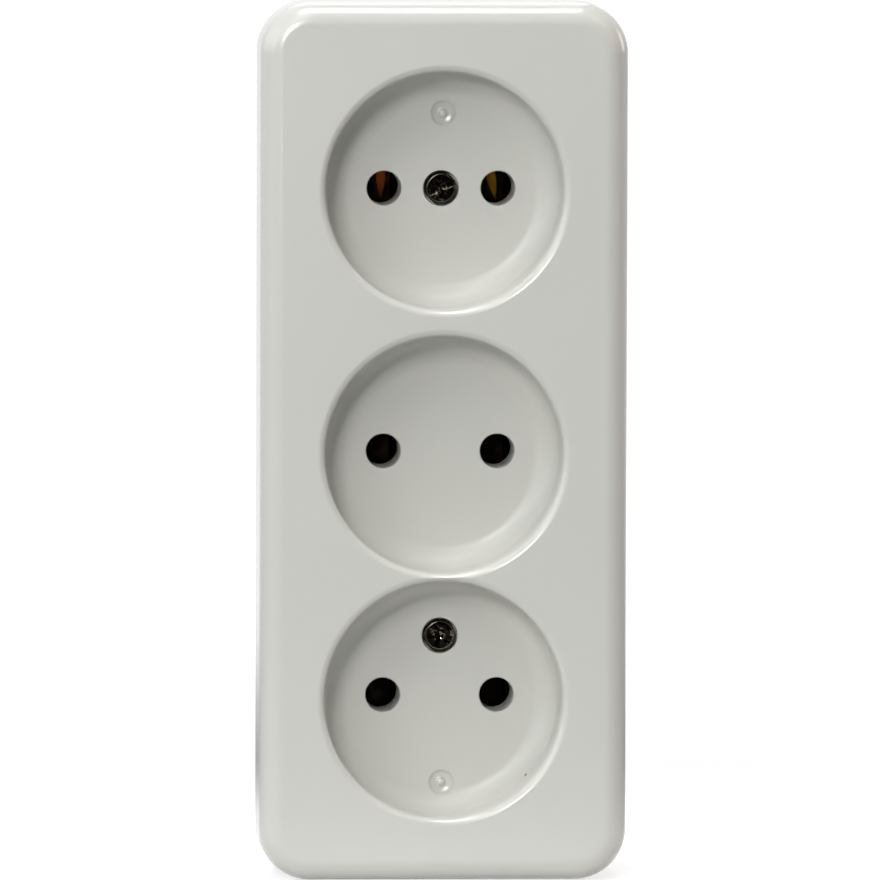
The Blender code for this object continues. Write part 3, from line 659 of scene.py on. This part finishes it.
for side in (1, -1):
    turns = [math.radians(30 * step) for step in range(4)]
    bend = [(clamp_bend * math.sin(turn), clamp_bend * (1 - math.cos(turn))) for turn in turns]
    way = [(side * (after[0] - before[0]), after[1] - before[1], 0)
           for before, after in zip(bend, bend[1:])]
    run_on(lambda edge: all(abs(vert.co.x - side * clamp_flat) < 0.01 * mm
                            for vert in edge.verts), way + [(0, clamp_side, 0)])
bpy.ops.object.mode_set(mode="OBJECT")
thicken(clamp, clamp_sheet, 0.12 * mm)
clamp_bore = turned("clamp_bore", [(screw_bore_radius, bore_back),
                                   (screw_bore_radius, bore_front)], 40)
combine(clamp, clamp_bore, "DIFFERENCE")


def thread(radius, start, end, pitch, depth):
    """The section of a threaded shank: crest and root by turns."""
    count = int((end - start) / pitch)
    ring = [(0, -depth), (0.35, 0), (0.5, 0), (0.85, -depth)]
    return [(radius + sunk, start + (turn + part) * pitch) for turn in range(count)
            for part, sunk in ring]


def driver_slot(width, length, low, high, angle, z=0, foot=1.0):
    """The hollow that a driver enters, turned about the axis of the screw."""
    piece = block("driver_slot", (-length / 2, length / 2), (low, high), (-width / 2, width / 2))
    bpy.ops.object.mode_set(mode="EDIT")
    pick("FACE", at_front(low))
    bpy.ops.transform.resize(value=(foot, 1, max(foot, 0.8)), center_override=(0, -low, 0))
    bpy.ops.object.mode_set(mode="OBJECT")
    piece.rotation_euler = (0, -angle, 0)
    piece.location = (0, 0, z)
    return settle("driver_slot")


screw_pitch = 0.7 * mm
driver_slot_run = 8.0 * mm
clamp_head = 3.0 * mm
clamp_head_top = 9.4 * mm
clamp_head_round = 0.44 * mm
clamp_screw = turned("clamp_screw", in_mm([(1.2, 2.3)])
                     + thread(1.6 * mm, 2.4 * mm, 7.0 * mm, screw_pitch, 0.25 * mm)
                     + in_mm([(1.5, 7.2), (2.8, 7.201), (3.0, 7.35)])
                     + arc(clamp_head - clamp_head_round, clamp_head_top - clamp_head_round,
                           clamp_head_round, 0, 90, 6)
                     + [(1.0 * mm, clamp_head_top)], 48)
clamp_slot = driver_slot(0.9 * mm, driver_slot_run, clamp_head_top - 1.1 * mm,
                         clamp_head_top + past, math.radians(8))
combine(clamp_screw, clamp_slot, "DIFFERENCE")
for level, z in terminals.items():
    for side, x in sides.items():
        for form, part in ((nut, "terminal_nut"), (clamp, "clamp_plate"),
                           (clamp_screw, "terminal_screw")):
            fit(copied(form, "terminal_copy", x, z), zinc,
                f"{part}_{level}_{side}")
for form in (nut, clamp, clamp_screw):
    bpy.data.objects.remove(form)

# The inserts: turned brass sleeves, one for each cover screw, with a thread inside. The knurled
# outside and its waist hold them in the posts, where they are pressed in.
insert_top = 21.0 * mm
insert_bottom = 13.0 * mm
insert_middle = (insert_top + insert_bottom) / 2
insert_radius = 2.1 * mm
insert_waist = 1.9 * mm
insert_edge = 0.2 * mm
waist_half = 0.6 * mm
knurls = 64
knurl_floor = 0.955
mouth_radius = 1.95 * mm
bore_radius = 1.75 * mm
insert = turned("insert", [(insert_waist, insert_bottom),
                           (insert_radius, insert_bottom + insert_edge),
                           (insert_radius, insert_middle - waist_half - insert_edge),
                           (insert_waist, insert_middle - waist_half),
                           (insert_waist, insert_middle + waist_half),
                           (insert_radius, insert_middle + waist_half + insert_edge),
                           (insert_radius, insert_top - insert_edge),
                           (insert_waist, insert_top)], knurls)
bpy.ops.object.mode_set(mode="EDIT")
pick("VERT", lambda vert: math.hypot(vert.co.x, vert.co.z) > insert_radius - 0.05 * mm
     and round(math.atan2(vert.co.z, vert.co.x) / math.tau * knurls) % 2)
bpy.ops.transform.resize(value=(knurl_floor, 1, knurl_floor), center_override=(0, 0, 0))
bpy.ops.object.mode_set(mode="OBJECT")
insert_bore = turned("insert_bore", [(mouth_radius, insert_bottom - 0.2 * mm),
                                     (bore_radius, insert_bottom + 0.1 * mm)]
                     + thread(bore_radius + 0.05 * mm, insert_bottom + 0.3 * mm,
                              insert_top - 0.3 * mm, 0.5 * mm, 0.05 * mm)
                     + [(bore_radius, insert_top - 0.1 * mm),
                        (mouth_radius, insert_top + 0.2 * mm)], 48)
combine(insert, insert_bore, "DIFFERENCE")
for level, z in screws.items():
    fit(copied(insert, "insert_copy", 0, z), soft_brass, f"insert_{level}")
bpy.data.objects.remove(insert)

# The cover: a deep cap in glossy off-white plastic, moulded in one piece with three dished
# recesses, the sleeves that guide the pins, and ribs and bosses behind. Two screws hold it on.
front = 38.0 * mm
recess_bottom = 26.0 * mm
recess_radius = 19.75 * mm
rim_bend = 1.25 * mm
recess_bend = 4.0 * mm
skirt_edge = 23.0 * mm
roof = 35.8 * mm
floor_underside = 23.5 * mm
pin_hole_radius = 2.85 * mm
rib_low = 30.5 * mm
rib_half = 0.8 * mm
floor_rib_low = 22.1 * mm
floor_rib_half = 0.7 * mm
web_half = 6 * mm
web_inset = 10 * mm
sleeve_radius = 4.15 * mm
sleeve_edge = 0.3 * mm
sleeve_low = 15.0 * mm
boss_radius = 4.37 * mm
boss_low = 21.6 * mm
cup_wall = 2.0 * mm
cup_bend = 5.0 * mm
cover_wall = 2.2 * mm
cover_corner = 8.5 * mm
cover_edge = 3.7 * mm
bite = 0.7 * mm  # how far a form behind the roof runs into its neighbour
cover_low, cover_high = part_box("cover")
cover_width = cover_high.x - cover_low.x
cover_height = cover_high.z - cover_low.z
recesses_at = [(0, z) for z in sockets.values()]
cover = box("cover", cover_width, cover_height, skirt_edge, front, cover_corner, 20,
            front_round=cover_edge, front_steps=14, back_round=0.25 * mm)
hollow_width = cover_width - 2 * cover_wall
hollow_height = cover_height - 2 * cover_wall
inside = box("inside", hollow_width + 2 * past * draft, hollow_height + 2 * past * draft,
             skirt_edge - past, roof, cover_corner - cover_wall, 16)
combine(cover, inside, "DIFFERENCE")

# The forms behind the roof run into it by different depths, so that no faces lie in one plane.
cup_radius = recess_radius + cup_wall
cup = turned("cup", [(0.5 * mm, floor_underside)]
             + arc(cup_radius - cup_bend, floor_underside + cup_bend, cup_bend, -90, 0, 8)
             + [(cup_radius, roof + 1.1 * mm)], 96)
combine_copies(cover, cup, "UNION", recesses_at)
web = block("web", (-web_half, web_half), (recess_bottom, roof + bite),
            (sockets["bottom"] + web_inset, sockets["top"] - web_inset))
combine(cover, web, "UNION")
spine_reach = hollow_height / 2 + bite
spine = block("spine", (-rib_half, rib_half), (rib_low, roof + 0.4 * mm),
              (-spine_reach, spine_reach))
combine(cover, spine, "UNION")
rib_reach = hollow_width / 2 + bite
cross_rib = block("cross_rib", (-rib_reach, rib_reach), (rib_low, roof + 0.9 * mm),
                  (-rib_half, rib_half))
combine_copies(cover, cross_rib, "UNION", recesses_at)
sleeve = turned("sleeve", [(sleeve_radius - sleeve_edge, sleeve_low),
                           (sleeve_radius, sleeve_low + sleeve_edge),
                           (sleeve_radius, floor_underside + 1.4 * mm)], 48)
combine_copies(cover, sleeve, "UNION", contacts_at)
floor_rib = block("floor_rib", (sides["left"], sides["right"]),
                  (floor_rib_low, floor_underside + bite), (-floor_rib_half, floor_rib_half))
combine_copies(cover, floor_rib, "UNION", recesses_at)
boss = turned("boss", [(boss_radius, boss_low), (boss_radius, floor_underside + 1.0 * mm)], 48)
combine_copies(cover, boss, "UNION", screws_at)
lip_slope = 4
lip_end = front + 0.2 * mm
foot_radius = recess_radius - (front - recess_bottom - recess_bend - rim_bend) * draft
recess_foot = arc(foot_radius - recess_bend, recess_bottom + recess_bend, recess_bend, -90, 0, 16)
lip = arc(recess_radius + rim_bend, front - rim_bend, rim_bend, 180, 90 + lip_slope, 12)
run_out = (lip_end - lip[-1][1]) / math.tan(math.radians(lip_slope))
recess = turned("recess", [(0.5 * mm, recess_bottom)] + recess_foot + lip
                + [(lip[-1][0] + run_out, lip_end)], 192)
combine_copies(cover, recess, "DIFFERENCE", recesses_at)
hole_mouth = [(0, -0.25), (0.08, -0.08), (0.28, 0.04), (0.6, 0.14)]
pin_hole = turned("pin_hole", [(pin_hole_radius, station_top)]
                  + [(pin_hole_radius + wider * mm, recess_bottom + rise * mm)
                     for wider, rise in hole_mouth], 64)
combine_copies(cover, pin_hole, "DIFFERENCE", contacts_at)
well_floor = 23.0 * mm
well_radius = 2.97 * mm
well_edge = 0.12 * mm
well = turned("well", [(bore_radius, 20.6 * mm), (bore_radius, well_floor),
                       (well_radius, well_floor + 0.001 * mm),
                       (well_radius, recess_bottom - well_edge),
                       (well_radius + 0.28 * mm, recess_bottom + well_edge)], 64)
combine_copies(cover, well, "DIFFERENCE", screws_at)
gate_section = [(0.34, -0.10), (0.55, -0.20), (0.72, -0.46), (0.88, -0.54), (1.05, -0.54),
                (1.22, -0.51), (1.45, -0.455), (1.68, -0.39), (1.79, -0.32), (1.92, -0.14),
                (2.06, 0.03), (2.60, 0.10)]
gate = turned("gate", [(radius * mm, recess_bottom + rise * mm) for radius, rise in gate_section],
              64)
gates_at = [(0.3 * mm, 54.2 * mm), (0.3 * mm, -57.4 * mm)]
gate_edge = 2.1 * mm
gate_fade = 2.5 * mm
combine_copies(cover, gate, "DIFFERENCE", gates_at)
fleck_at = (14.22 * mm, -28.68 * mm, -55.97 * mm)

moulded, surface, nodes = finish("cover_plastic", {"IOR": 1.5, "Coat Roughness": 0.18,
                                                   "Coat IOR": 1.5})
cloud = nodes.grain(45, detail=3)
speckle = nodes.grain(5200, detail=2)
worn = nodes.between(nodes.grain(700, (1, 1, 0.5), 3, 0.6), 0.52, 0.80)
cream = nodes.tint(cloud, opaque(0.592, 0.592, 0.554), opaque(0.612, 0.610, 0.573))
body = nodes.tint(nodes.between(speckle, 0.60, 0.78) * 0.10, cream, opaque(0.50, 0.49, 0.46))
place = nodes.add("TexCoord", output=3)
to_fleck = nodes.add("VectorMath", {"operation": "DISTANCE"}, {0: place, 1: fleck_at}, 1)
fleck = nodes.between(to_fleck, 0.24 * mm, 0.36 * mm, 1.0, 0.0)
nodes.feed(surface["Base Color"], nodes.tint(fleck, body, opaque(0.06, 0.05, 0.04)))
reach_x, depth_y, reach_z = [nodes.add("Math", {"operation": "ABSOLUTE"},
                                       {0: nodes.add("SeparateXYZ", {}, {0: place}, axis)})
                             for axis in range(3)]
dulled = (nodes.between(depth_y, front - 1.4 * mm, front - 0.5 * mm, 1.0, 0.0)
          * nodes.between(reach_x, 22 * mm, 23 * mm, 1.0, 0.0)
          * nodes.between(reach_z, 65 * mm, 67 * mm, 1.0, 0.0))
gate_gloss = 0
for x, z in gates_at:
    to_gate = nodes.add("VectorMath", {"operation": "DISTANCE"},
                        {0: place, 1: (x, -recess_bottom, z)}, 1)
    beside = nodes.between(to_gate, gate_edge, gate_fade)
    dulled = dulled * beside
    gate_gloss = gate_gloss + (1 - beside)
nodes.feed(surface["Roughness"], 0.22 + cloud * 0.04 + worn * 0.03 + dulled * 0.12)
nodes.feed(surface["Coat Weight"], (0.40 - worn * 0.05) * (1 - dulled) + gate_gloss * 0.5)
peel = nodes.bumps(nodes.grain(260, detail=1), 0.006 * mm)
nodes.feed(surface["Normal"], nodes.bumps(speckle, 0.0004 * mm, peel))
fit(cover, moulded, "cover", 28)

# The cover screws: near-black nickelled steel with a rounded cheese head, a slot and a cross, with
# glints painted on the head. They sit just under the floor of their recess and turn into the
# inserts.
seat = 23.3 * mm
head_top = 25.5 * mm
head_radius = 2.6 * mm
head_round = 0.5 * mm
slot_depth = 0.7 * mm
cross_depth = 1.4 * mm
cross_run = 3.0 * mm


def dark_nickel_with_painted_glints(name, z):
    """Near-black nickel with painted glints: the rim ring, random patches and the middle of the
    head are painted bright.
    """
    material, surface, nodes = finish(name, {"Metallic": 1.0})
    film = nodes.grain(600, detail=4, rough=0.6)
    wipes = nodes.grain(3000, (1, 1, 0.15), 3)
    dents = nodes.between(nodes.grain(620, detail=1), 0.45, 0.65)
    place = nodes.add("TexCoord", output=3)
    from_axis = nodes.add("VectorMath", {"operation": "SUBTRACT"}, {0: place, 1: (0, 0, z)})
    flat = nodes.add("VectorMath", {"operation": "MULTIPLY"}, {0: from_axis, 1: (1, 0, 1)})
    radius = nodes.add("VectorMath", {"operation": "LENGTH"}, {0: flat}, 1)
    to_rim = nodes.add("Math", {"operation": "ABSOLUTE"}, {0: radius - (head_radius - 0.27 * mm)})
    rim = nodes.between(to_rim, 0.03 * mm, 0.14 * mm, 1.0, 0.0)
    patches = nodes.between(nodes.grain(700, detail=3, rough=0.6), 0.58, 0.64)
    dark = nodes.tint(film, opaque(0.007, 0.006, 0.005), opaque(0.022, 0.019, 0.015))
    painted_centre_glints = (nodes.between(radius, 0.3 * mm, 1.3 * mm, 1.0, 0.0)
              * nodes.between(nodes.grain(1300, detail=2), 0.46, 0.58))
    # Painted highlights: glints painted bright on the rim ring, in patches and round the driver
    # recess, over the near-black tone.
    painted_light = rim * (0.05 + film * 0.45) + patches * 0.4 + painted_centre_glints * 0.9
    nodes.feed(surface["Base Color"], nodes.tint(painted_light, dark, opaque(0.52, 0.45, 0.34)))
    nodes.feed(surface["Roughness"], 0.07 + film * 0.08 + wipes * 0.05 + rim * 0.12)
    relief = nodes.bumps(dents, 0.04 * mm, nodes.bumps(wipes, 0.002 * mm))
    nodes.feed(surface["Normal"], relief)
    return material


for node, z, angle in (("cover_screw_top", screws["top"], 20.7),
                       ("cover_screw_bottom", screws["bottom"], -17.0)):
    screw = turned("screw", in_mm([(1.0, 12.3), (1.15, 12.4)])
                   + thread(1.45 * mm, 12.6 * mm, 22.4 * mm, screw_pitch, 0.22 * mm)
                   + [(1.3 * mm, seat), (head_radius - 0.1 * mm, seat + 0.001 * mm),
                      (head_radius, seat + 0.1 * mm)]
                   + arc(head_radius - head_round, head_top - head_round, head_round, 0, 90, 10)
                   + [(0.8 * mm, head_top)], 96, z)
    turn = math.radians(angle)
    slot = driver_slot(1.0 * mm, driver_slot_run, head_top - slot_depth, head_top + past, turn, z)
    combine(screw, slot, "DIFFERENCE")
    for quarter in (0, math.pi / 2):
        cross = driver_slot(0.8 * mm, cross_run, head_top - cross_depth, head_top + past,
                            turn + quarter, z, foot=0.3)
        combine(screw, cross, "DIFFERENCE")
    take(screw)
    edges = screw.modifiers.new("edges", "BEVEL")
    edges.width = 0.05 * mm
    edges.segments = 2
    edges.angle_limit = math.radians(50)
    bpy.ops.object.modifier_apply(modifier=edges.name)
    fit(screw, dark_nickel_with_painted_glints(f"screw_nickel_{node[12:]}", z), node)

# The studio: a pale floor under the socket and soft lamps that the camera doesn't see. The floor
# and the world go over to plain white away from the socket, for the camera and for reflections.
floor_material, surface, nodes = finish("floor", {"Roughness": 0.8, "Emission Strength": 1.0})
place = nodes.add("TexCoord", output=3)
away = nodes.add("VectorMath", {"operation": "LENGTH"}, {0: place}, 1)
behind = nodes.between(nodes.add("SeparateXYZ", {}, {0: place}, 1), 0.1, 0.6)
near = nodes.between(away, 0.10, 0.22, 1.0, 0.0)
seen = nodes.add("LightPath", output="Is Camera Ray")
mirrored = nodes.add("LightPath", output="Is Glossy Ray") * (behind + near)
lift = nodes.between(away, 0.12, 0.50, 0.70, 1.0) * (seen + mirrored)
nodes.feed(surface["Emission Color"], nodes.tint(lift, opaque(0, 0, 0), opaque(1, 1, 1)))
nodes.feed(surface["Base Color"], nodes.tint(nodes.between(away, 0.07, 0.22),
                                             opaque(0.58, 0.58, 0.58), opaque(0.20, 0.20, 0.20)))
bpy.ops.object.select_all(action="DESELECT")
bpy.ops.mesh.primitive_plane_add(size=24, location=(0, 0, cad_box[0].z - 0.05 * mm))
floor = settle("floor")
floor.data.materials.append(floor_material)

world = bpy.data.worlds.new("studio")
bpy.context.scene.world = world
world.use_nodes = True
nodes = Nodes(world.node_tree)
ambient = world.node_tree.nodes["Background"]
ambient.inputs["Color"].default_value = opaque(1, 1, 1)
ambient.inputs["Strength"].default_value = 0.03
seen, mirrored, through = [nodes.add("LightPath", output=f"Is {kind} Ray")
                           for kind in ("Camera", "Glossy", "Transmission")]
direction = nodes.add("SeparateXYZ", {}, {0: nodes.add("TexCoord", output=0)}, 1)
behind = nodes.between(direction, -0.1, 0.3)
white = nodes.add("Background", {}, {"Color": opaque(1, 1, 1), "Strength": 1.0})
either = nodes.add("MixShader", {}, {0: seen + (mirrored + through) * behind,
                                     1: Wire(nodes, ambient.outputs[0]), 2: white})
nodes.feed(world.node_tree.nodes["World Output"].inputs["Surface"], either)


def lamp(name, azimuth, elevation, distance, width, height, power, colour):
    """A soft lamp that faces the socket: azimuth 0 is in front of it and -90 to its left."""
    turn, rise = math.radians(azimuth), math.radians(elevation)
    toward = Vector((math.sin(turn) * math.cos(rise), -math.cos(turn) * math.cos(rise),
                     math.sin(rise)))
    bpy.ops.object.light_add(type="AREA", location=toward * distance)
    made = bpy.context.object
    made.name = name
    made.rotation_euler = toward.to_track_quat("Z", "Y").to_euler()
    made.data.shape = "RECTANGLE"
    made.data.size = width
    made.data.size_y = height
    made.data.energy = power
    made.data.color = colour
    made.visible_camera = False


lamp("lamp_key", -15, 19, 0.9, 0.20, 0.20, 2.05, (1, 1, 1))
lamp("lamp_near_key", -12, 14, 0.9, 0.06, 0.06, 0.95, (1, 1, 1))
lamp("lamp_high", -18, 54, 0.9, 0.28, 0.73, 2.00, (1, 1, 1))
lamp("lamp_overhead", -10, 78, 1.6, 0.6, 0.6, 12.7, (1, 1, 1))
lamp("lamp_front_left", -45, 18, 1.6, 0.5, 0.5, 1.50, (1, 1, 1))
lamp("lamp_high_right", 40, 46, 1.6, 0.6, 0.6, 2.0, (1, 0.94, 0.88))
lamp("lamp_left", -66, 22, 1.6, 1.5, 1.0, 7.4, (0.94, 0.98, 1))
lamp("lamp_left_back", -100, 15, 1.6, 0.6, 0.6, 1.6, (0.94, 0.98, 1))
lamp("lamp_right", 100, 15, 1.6, 0.6, 0.6, 4.8, (1, 0.86, 0.78))
lamp("lamp_behind", 180, 45, 1.6, 0.6, 0.6, 3.0, (1, 1, 1))
lamp("lamp_near_lens", -6, 0, 1.6, 0.08, 0.08, 0.20, (1, 0.9, 0.8))

# The camera stands where the photograph was taken from, a little above and to the left, with a
# long lens and a very slight roll. The picture goes out as plain colour.
turn, tip, roll = math.radians(3.348), math.radians(-3.544), math.radians(0.172)
ahead = Vector((math.sin(turn) * math.cos(tip), math.cos(turn) * math.cos(tip), math.sin(tip)))
right = Vector((math.cos(turn), -math.sin(turn), 0))
upward = right.cross(ahead)
rolled_right = right * math.cos(roll) + upward * math.sin(roll)
rolled_up = upward * math.cos(roll) - right * math.sin(roll)
lens = bpy.data.cameras.new("camera")
lens.lens = 544.34  # in millimetres, as a Blender camera has it
lens.sensor_width = 36
lens.clip_start = 0.1
lens.clip_end = 60
camera = bpy.data.objects.new("camera", lens)
bpy.context.scene.collection.objects.link(camera)
stands_at = Vector((-0.1292, -2.2338, 0.1367))
faces = Matrix((rolled_right, rolled_up, -ahead)).transposed()
camera.matrix_world = Matrix.Translation(stands_at) @ faces.to_4x4()
bpy.context.scene.camera = camera
bpy.context.scene.view_settings.view_transform = "Standard"
